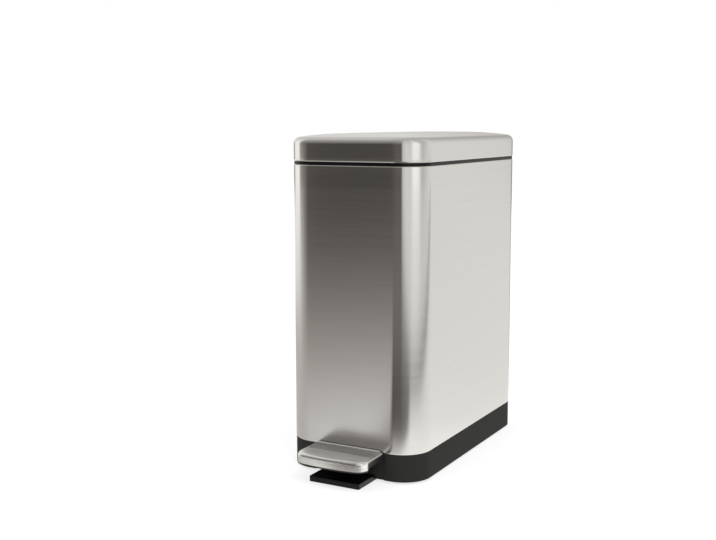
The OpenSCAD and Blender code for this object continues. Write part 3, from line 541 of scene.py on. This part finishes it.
lidPiece = lidMesh(bodyForm, lid)
for finish in ("sleeveSteel", "lidTopSteel"):
    lidPiece.data.materials.append(finishes[finish])
place(lidPiece, "lid", None, "brushed_steel", "lid_cover")
print("lid made")

# Pedal: a pressed steel top bent down at the front and sides. Its lip goes round the front
# corners only, and its rear edge is turned up.
coverLow, coverHigh = spanOf("pedal_cover")
pedal = {
    "width": coverHigh[0] - coverLow[0], "length": coverHigh[1] - coverLow[1], "back": coverHigh[1],
    "radius": 14.0, "bow": 4.7, "bend": 4.0, "lip": 11.6, "plate": 0.9, "sideLip": 0.5,
    "crown": 0.25, "shares": (0.97, 0.9, 0.75, 0.5, 0.25, 0.0),
    "spine": 25.0,  # the middle line stops this far from the front
    "trim": 0.25, "sharp": 50,
    "ridge": ridgeRise, "ridgeFoot": 2.2, "ridgeWall": 1.0, "ridgeSink": 0.5,
    "ridgeFillet": 0.72, "ridgeCrest": 0.35, "ridgeEnd": 0.6, "ridgeEndShare": 0.55,
}
pedal["top"] = coverHigh[2] - pedal["ridge"]


def pedalOutline(size):
    # From the left rear corner round the bowed front to the right rear corner, with each
    # point's outward direction. The bow is an arc whose middle lies far back.
    half, r, bow, d = size["width"] / 2, size["radius"], size["bow"], size["length"]
    big = (half * half + bow * bow) / (2 * bow)
    middle = big - d
    cornerY = middle - math.sqrt((big - r) ** 2 - (half - r) ** 2)
    turn = math.asin((half - r) / (big - r))
    side = np.append(np.linspace(0, cornerY + size["sideLip"], 10), cornerY)[:-1]
    corner = np.linspace(0, math.pi / 2 - turn, 15)
    sweep = np.linspace(turn, 0, 14)[1:]
    x = np.concatenate([half + 0 * side, half - r + r * np.cos(corner), big * np.sin(sweep)])
    y = np.concatenate([side, cornerY - r * np.sin(corner), middle - big * np.cos(sweep)])
    outX = np.concatenate([1 + 0 * side, np.cos(corner), np.sin(sweep)])
    outY = np.concatenate([0 * side, -np.sin(corner), -np.cos(sweep)])
    points, ways = np.column_stack([x, y]), np.column_stack([outX, outY])
    mirror = np.array([-1.0, 1.0])
    return (np.concatenate([points * mirror, points[-2::-1]]),
            np.concatenate([ways * mirror, ways[-2::-1]]), cornerY + size["sideLip"])


def pedalMesh(size):
    # Rows: up the lip, round the bend, then towards the middle line in even shares, with the
    # top raised by the crown times 1 - share squared
    points, ways, lipEnd = pedalOutline(size)
    bend, top = size["bend"], size["top"]
    lipZ = np.linspace(-size["lip"], -bend, 6)[:-1]
    rows = [np.column_stack([points, 0 * points[:, 0] + z]) for z in lipZ]
    for t in arc(90, 0, 10):
        ring = points - ways * bend * (1 - math.sin(t))
        rows.append(np.column_stack([ring, 0 * ring[:, 0] - bend * (1 - math.cos(t))]))
    rim = points - ways * bend
    spineY = np.clip(rim[:, 1], size["spine"] - size["length"], 0)
    spine = np.column_stack([0 * rim[:, 0], spineY])
    for share in size["shares"]:
        ring = spine + (rim - spine) * share
        rows.append(np.column_stack([ring, 0 * ring[:, 0] + size["crown"] * (1 - share ** 2)]))
    grid = np.stack(rows) + np.array([0, size["back"], top])

    def openSides(middles):
        return (middles[:, 2] < top - bend) & (middles[:, 1] > size["back"] + lipEnd)

    piece = gridMesh("pedalPlate", grid, loopColumns=False, drop=openSides, sharp=size["sharp"])
    sheetWall(piece, "plate", size["plate"])
    trimEdges(piece, size["trim"], size["sharp"])
    return piece


def ridgeMesh(size):
    # Profile: a hollow fillet up from the plate, a round top edge and a flat back, carried
    # along X and closed at both ends
    foot, rise, wall = size["ridgeFoot"], size["ridge"] + size["crown"], size["ridgeWall"]
    t = np.linspace(0, 1, 9)
    filletZ = rise * size["ridgeFillet"] * t ** 2
    fillet = np.column_stack([-foot + (foot - wall / 2) * t, filletZ])
    a = arc(150, 0, 8)
    crestZ = rise - wall * size["ridgeCrest"] * (1 - np.sin(a))
    crest = np.column_stack([-wall / 2 + wall / 2 * np.cos(a), crestZ])
    back = np.array([[0, -size["ridgeSink"]], [-foot, -size["ridgeSink"]]])
    profile = np.concatenate([fillet, crest, back])[::-1]
    ends = size["width"] / 2 - size["bend"]
    inside, share = ends - size["ridgeEnd"], size["ridgeEndShare"]
    stations = np.concatenate([[-ends, -ends], np.linspace(-inside, inside, 15), [ends, ends]])
    scale = np.concatenate([[0.0, share], np.ones(15), [share, 0.0]])
    middle = np.array([-foot / 2, 0.0])
    yz = middle + (profile - middle)[None] * scale[:, None, None]
    x = np.broadcast_to(stations[:, None, None], yz.shape[:2] + (1,))
    grid = np.concatenate([x, yz], -1) + np.array([0, size["back"], size["top"]])
    return gridMesh("pedalRidge", grid, sharp=size["sharp"])


place(pedalMesh(pedal), "pedal", "pedalSteel", "pedal_steel", "pedal_cover")
place(ridgeMesh(pedal), "pedal", "pedalSteel", "pedal_steel")
print("pedal made")


# Every other solid of the part, with its edges rounded a little as moulding and pressing do:
# the new piece's name, the rounding's width, the finish and the slot. Angles are in degrees.
edges = {"shade": 30, "round": 32}
roundedParts = {
    "top_collar": ("seamCollar", 0.35, "seamPlastic", "black_plastic"),
    "lid_liner": ("lidLiner", 0.35, "seamPlastic", "black_plastic"),
    "base_skirt": ("baseBand", 0.4, "basePlastic", "black_plastic"),
    "base_deck": ("baseDeck", 0.3, "greyPlastic", "grey_plastic"),
    "base_bottom": ("bottomPlate", 0.3, "greyPlastic", "grey_plastic"),
    "foot_plate": ("floorPlate", 1.3, "platePlastic", "black_plastic"),
    "rubber_feet": ("rubberFeet", 0.5, "rubber", "rubber"),
    "base_screws": ("baseScrews", 0.3, "zinc", "zinc_steel"),
    "foot_plate_screws": ("plateScrews", 0.3, "zinc", "zinc_steel"),
    "hinge_leaf": ("hingeLeaf", 0.3, "zinc", "zinc_steel"),
    "hinge_pin": ("hingePin", 0.3, "zinc", "zinc_steel"),
    "hinge_screws": ("hingeScrews", 0.3, "zinc", "zinc_steel"),
    "rod_channel": ("rodChannel", 0.3, "greyPlastic", "grey_plastic"),
    "rod_guide": ("rodGuide", 0.3, "greyPlastic", "grey_plastic"),
    "rod_bush": ("rodBush", 0.2, "zinc", "zinc_steel"),
    "damper_cylinder": ("damperTube", 0.2, "zinc", "zinc_steel"),
    "damper_caps": ("damperCaps", 0.3, "greyPlastic", "grey_plastic"),
    "damper_clamp": ("damperClamp", 0.3, "greyPlastic", "grey_plastic"),
    "pivot_bracket": ("pivotBracket", 0.3, "zinc", "zinc_steel"),
    "pivot_pin": ("pivotPin", 0.3, "zinc", "zinc_steel"),
    "pivot_screws": ("pivotScrews", 0.3, "zinc", "zinc_steel"),
    "lid_bumpers": ("lidBumpers", 0.4, "rubber", "rubber"),
    "lid_bracket": ("lidBracket", 0.3, "zinc", "zinc_steel"),
    "crank_pin": ("crankPin", 0.3, "zinc", "zinc_steel"),
    "lid_screws": ("lidScrews", 0.3, "zinc", "zinc_steel"),
    "pedal_core": ("pedalCore", 0.35, "corePlastic", "black_plastic"),
    "pedal_lever": ("pedalLever", 0.3, "zinc", "zinc_steel"),
    "pedal_rivets": ("pedalRivets", 0.2, "zinc", "zinc_steel"),
    "lever_end_pin": ("leverEndPin", 0.3, "zinc", "zinc_steel"),
    "lift_rod": ("liftRod", 0.3, "zinc", "zinc_steel"),
    "rod_yoke": ("rodYoke", 0.3, "zinc", "zinc_steel"),
    "rod_foot": ("rodFoot", 0.3, "zinc", "zinc_steel"),
    "damper_piston": ("damperPiston", 0.3, "zinc", "zinc_steel"),
}


def roundedPart(node, name, width, finish, slotName):
    source = frame["nodes"][node]
    mesh = source.data.copy()
    piece = tidied(name, mesh, edges["shade"], joinFaces=True)
    trimEdges(piece, width, edges["round"])
    return place(piece, source["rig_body"], finish, slotName, node)


for node, (name, width, finish, slotName) in roundedParts.items():
    roundedPart(node, name, width, finish, slotName)
print("rounded parts made:", len(roundedParts))

# Bucket: drafted walls with a turned-out rim, and a finger slot in each side
bucketLow, bucketHigh = spanOf("bucket")
bucket = {
    "floor": bucketLow[2], "rim": bucketHigh[2], "front": bucketLow[1], "back": bucketHigh[1],
    "width": bucketHigh[0] - bucketLow[0], "radius": 25.7, "lip": 3.5, "draft": 3.0, "wall": 2.0,
    "rimDepth": 3.0, "rimRound": 0.7, "foot": 5.0, "sharp": 38,
    "floorLine": 70.0,  # the floor's middle line stops this far from both ends
    "slotWidth": 64.0, "slotHeight": 16.0, "slotZ": bucketHigh[2] - 19, "slotReach": 100.0,
}


def bucketMesh(size):
    # Outer wall: inset falls evenly from the draft at the floor to nothing at the rim, with
    # a rounded foot. The rim turns out, up and back in, with its edges rounded. The inner
    # wall follows a wall's thickness inside the outer one.
    form = {
        "width": size["width"], "depth": size["back"] - size["front"],
        "middle": (size["front"] + size["back"]) / 2,
        "radius": size["radius"], "leastRadius": 0.4, "cornerSteps": 20,
        "sideX": (-0.8, -0.4, 0.0, 0.4, 0.8), "sideY": bodyForm["sideY"],
    }
    low, high, lip = size["floor"], size["rim"], size["lip"]
    wall, foot, c = size["wall"], size["foot"], size["rimRound"]
    under = high - size["rimDepth"]

    def inset(z):
        return lip + size["draft"] * (high - z) / (high - low)

    a = arc(0, 90, 8)
    walls = np.linspace(low + foot, under - 0.8, 10)[1:]
    innerFoot = foot - wall * 0.5
    down = np.linspace(high - 1, low + wall + innerFoot, 10)[1:]
    insets = np.concatenate([
        inset(low) + foot * (1 - np.sin(a)), inset(walls), [lip - 0.3, c, 0, 0, c * 0.3, c],
        [inset(high) + wall - c, inset(high - 1) + wall - 0.1], inset(down) + wall,
        inset(low) + wall + innerFoot * (1 - np.cos(a[1:]))])
    heights = np.concatenate([
        low + foot * (1 - np.cos(a)), walls,
        [under, under, under + c, high - c, high - c * 0.3, high],
        [high, high - 0.6], down, low + wall + innerFoot * (1 - np.sin(a[1:]))])
    points = ringGrid(form, insets, heights)

    def middleLine(z):
        # The floor's faces close on a line along the middle
        line = points[-1].copy()
        line[:, 0] = 0
        short = size["floorLine"]
        line[:, 1] = np.clip(line[:, 1], size["front"] + short, size["back"] - short)
        line[:, 2] = z
        return line

    points = np.concatenate([middleLine(low)[None], points, middleLine(low + wall)[None]])
    return gridMesh("innerBucket", points)


def slotCutter(size):
    # A stadium right across the bucket: a circle's points pushed apart along the slot, with
    # both ends closed on a point
    t = np.linspace(0, 2 * math.pi, 49)[:-1]
    r, reach = size["slotHeight"] / 2, size["slotReach"]
    y = r * np.cos(t) + np.sign(np.cos(t)) * (size["slotWidth"] / 2 - r)
    z = r * np.sin(t)
    rows = [np.column_stack([x + 0 * t, y * share, size["slotZ"] + z * share])
            for x, share in ((-reach, 0), (-reach, 1), (reach, 1), (reach, 0))]
    return gridMesh("slotCutter", np.stack(rows))


def applied(piece):
    # The mesh that the modifiers give, kept as the piece's own
    evaluated = piece.evaluated_get(bpy.context.evaluated_depsgraph_get())
    mesh = bpy.data.meshes.new_from_object(evaluated)
    piece.modifiers.clear()
    piece.data = mesh


bucketPiece, cutter = bucketMesh(bucket), slotCutter(bucket)
cut = bucketPiece.modifiers.new("slots", "BOOLEAN")
cut.operation, cut.solver, cut.object = "DIFFERENCE", "EXACT", cutter
applied(bucketPiece)
bpy.data.objects.remove(cutter)
bucketPiece.data.set_sharp_from_angle(angle=math.radians(bucket["sharp"]))
place(bucketPiece, "bucket", "bucketPlastic", "bucket_plastic", "bucket")
print("bucket made")


# Stage: a pale floor and backdrop, and a soft room that only reflections see
stageLook = {
    "floor": (0.86, 0.86, 0.86), "reach": 12000.0, "height": -0.05,
    "lit": 0.7, "backdrop": 1.0, "ambient": 1.25,
}


def stagePlane(name, reach, height):
    # A level square: four corners at plus and minus the reach
    side = np.array([-reach, reach])
    y, x = np.meshgrid(side, side, indexing="ij")
    return gridMesh(name, np.stack([x, y, 0 * x + height], -1), loopColumns=False)


def makeFloor(look):
    # Part of the floor's tone is its own light, so that it stays white with a faint shadow
    floor = stagePlane("floor", look["reach"], look["height"])
    material = bpy.data.materials.new("paleFloor")
    graph = Graph(material)
    paint = graph.node("ShaderNodeBsdfDiffuse", None, {"Color": look["floor"]})
    lit = graph.node("ShaderNodeEmission", None, {"Color": (1, 1, 1), "Strength": 1.0})
    graph.finish(graph.node("ShaderNodeMixShader", None, {0: look["lit"], 1: paint, 2: lit}))
    floor.data.materials.append(material)
    floor.visible_glossy = False


def makeWorld(look):
    # The camera sees the backdrop's strength, and the ambient one lights the part
    world = bpy.data.worlds.new("studio")
    scene.world = world
    graph = Graph(world)
    seen = graph.node("ShaderNodeLightPath", out="Is Camera Ray")
    strength = look["ambient"] + seen * (look["backdrop"] - look["ambient"])
    sky = graph.node("ShaderNodeBackground", None, {"Color": (1, 1, 1), "Strength": strength})
    graph.finish(sky, "ShaderNodeOutputWorld")


def onlyReflected(piece):
    piece.visible_camera = piece.visible_diffuse = piece.visible_shadow = False
    piece.visible_transmission = piece.visible_volume_scatter = False


# Tones of the room. Azimuth is anticlockwise from the bin's right, in degrees: a dark room
# opens in front, a bright wall and a window stand to the right, and the rest is pale, with
# a haze low down behind.
room = {
    "radius": 6000.0,
    "walls": [(-180, 1.35), (-168, 1.35), (-160, 0.45), (-150, 0.28), (-138, 0.2), (-127, 0.12),
              (-119, 0.04), (-112, 0.05), (-90, 0.11), (-74, 0.12), (-69, 0.8), (-56, 1.0),
              (-42, 0.9), (-28, 1.48), (-12, 1.36), (4, 0.66), (24, 0.84), (42, 1.03), (66, 0.96),
              (90, 0.5), (102, 0.5), (116, 0.9), (150, 0.9), (164, 1.2), (180, 1.35)],
    "ceiling": 0.65,
    "rise": [(0, 0.0), (17, 0.13), (34, 0.42), (52, 0.63), (72, 0.88), (90, 1.0)],
    "hazeFrom": (72.0, 96.0), "hazeTo": (150.0, 166.0), "hazeRise": (0.5, 14.0),
    "haze": 0.5,
    "warm": (1.0, 0.925, 0.85), "plain": (1.0, 0.99, 0.968),
}
# Tones of the floor, in metres from the right front corner: it falls off into the dark room
# in front, stays pale to the right, and a dark patch with straight edges lies between them.
floorGlow = {
    "reach": 4000.0, "height": -0.5,
    "corner": (0.054, -0.160),
    "front": [(0.0, 1.0), (0.15, 0.96), (0.31, 0.84), (0.58, 0.58), (0.96, 0.37), (1.5, 0.23),
              (2.5, 0.1), (4.0, 0.035)],
    "left": [(0.0, 0.66), (1.0, 0.62), (1.5, 0.95), (2.5, 1.12), (4.0, 1.2)],
    "side": [(0.0, 1.25), (0.15, 1.25), (0.31, 1.08), (0.6, 1.02), (1.0, 1.0), (2.5, 0.97),
             (4.0, 0.98)],
    "dark": [(0.0, 0.95), (0.1, 0.7), (0.16, 0.3), (0.25, 0.1), (0.4, 0.08), (0.6, 0.15),
             (1.0, 0.3), (1.5, 0.3), (2.5, 0.15), (4.0, 0.06)],
    "leftEdge": (-180.0, -122.0),
    "frontLine": (0.07, 0.15), "frontSoft": 0.035,
    "sideLine": (0.52, 0.155), "sideSoft": 0.08,
    "nearLine": (0.06, 0.50), "nearSoft": 0.035,
    "stripWay": 58.0, "stripPast": 0.53, "stripHalf": (0.08, 0.2), "stripDip": 0.9,
}


def curve(graph, value, stops):
    # A value read off a list of (place, tone) pairs: a colour ramp over the list's range
    low, high = stops[0][0], stops[-1][0]
    top = max(tone for _, tone in stops)
    share = graph.node(
        "ShaderNodeMapRange", None, {"Value": value, "From Min": low, "From Max": high})
    scaled = [((at - low) / (high - low), tone / top) for at, tone in stops]
    return graph.node("ShaderNodeValToRGB", {"stops": scaled}, {"Fac": share}) * top


def glow(piece, name, paint):
    # Light of the painted tone, warmer where it is dark
    material = bpy.data.materials.new(name)
    graph = Graph(material)
    tone = paint(graph)
    colour = graph.blend(graph.between(tone, 0.0, 1.0), room["warm"], room["plain"])
    graph.finish(graph.node("ShaderNodeEmission", None, {"Color": colour, "Strength": tone}))
    material.cycles.emission_sampling = "NONE"
    piece.data.materials.append(material)
    onlyReflected(piece)


def degreesOf(rise, run):
    return rise.calc("ARCTAN2", rise, run) * (180 / math.pi)


def distance(x, y):
    squares = x * x + y * y
    return squares.calc("SQRT", squares)


def roomPaint(graph):
    # Wall tone by azimuth, less the haze, passing over to the ceiling's with height
    x, y, z = graph.axes()
    rise = degreesOf(z, distance(x, y))
    way = degreesOf(y, x)
    behind = graph.between(way, *room["hazeFrom"]) * (1 - graph.between(way, *room["hazeTo"]))
    haze = behind * (1 - graph.between(rise, *room["hazeRise"])) * room["haze"]
    up = curve(graph, rise, room["rise"])
    return curve(graph, way, room["walls"]) * (1 - haze) * (1 - up) + up * room["ceiling"]


def floorPaint(graph):
    # Front tone left of one straight line, side tone right of two others, and the dark patch
    # between them. The dim strip is a band along its own way, past the corner.
    look = floorGlow
    x, y, _ = graph.axes()
    dx, dy = x - look["corner"][0], y - look["corner"][1]
    away = distance(dx, dy)
    angle = degreesOf(dy, dx)
    angle = angle - angle.calc("GREATER_THAN", angle, 90.0) * 360
    way = math.radians(look["stripWay"])
    past = dx * math.sin(way) - dy * math.cos(way) - look["stripPast"]
    strip = 1 - graph.between(past.calc("ABSOLUTE", past), *look["stripHalf"])
    side = curve(graph, away, look["side"]) * (1 - strip * look["stripDip"])
    across = dx + dy * look["sideLine"][1] - look["sideLine"][0]
    above = dy + dx * look["nearLine"][1] + look["nearLine"][0]
    ahead = dx - dy * look["frontLine"][1] + look["frontLine"][0]

    def over(value, soft):
        return graph.between(value, -soft, soft)

    dark = (1 - over(across, look["sideSoft"])) * (1 - over(above, look["nearSoft"]))
    right = side * (1 - dark) + curve(graph, away, look["dark"]) * dark
    beyond = over(ahead, look["frontSoft"])
    left = 1 - graph.between(angle, *look["leftEdge"])
    front = curve(graph, away, look["front"]) * (1 - left) + left * curve(graph, away, look["left"])
    return front * (1 - beyond) + right * beyond


def makeRoom():
    # A ball of directions round the bin: z is r sin e and the ring at that height r cos e
    e = arc(-90, 90, 24)[:, None]
    a = np.radians(np.linspace(0, 360, 49)[:-1])[None, :]
    ball = np.stack([np.cos(e) * np.cos(a), np.cos(e) * np.sin(a), np.sin(e) + 0 * a], -1)
    glow(gridMesh("softRoom", ball * room["radius"]), "roomGlow", roomPaint)
    softFloor = stagePlane("softFloor", floorGlow["reach"], floorGlow["height"])
    glow(softFloor, "floorGlow", floorPaint)


# Soft round lamps, in metres and watts, aimed at the middle of the sleeve
lamps = {
    "keyLight": {"place": (1.2, -0.9, 1.7), "size": 1.4, "power": 22},
    "fillLight": {"place": (-1.3, -0.7, 1.4), "size": 1.6, "power": 10},
}
lampAim = (0, 0, 0.2)


def makeLight(name, look):
    data = bpy.data.lights.new(name, "AREA")
    data.shape, data.size, data.energy = "DISK", look["size"], look["power"]
    light = bpy.data.objects.new(name, data)
    scene.collection.objects.link(light)
    spot = Vector(look["place"])
    turn = (Vector(lampAim) - spot).to_track_quat("-Z", "Y").to_matrix().to_4x4()
    light.matrix_world = Matrix.Translation(spot) @ turn
    light.visible_glossy = False


makeFloor(stageLook)
makeWorld(stageLook)
makeRoom()
for name, look in lamps.items():
    makeLight(name, look)
scene.view_settings.view_transform = "Standard"
scene.cycles.use_denoising = True
print("stage made")
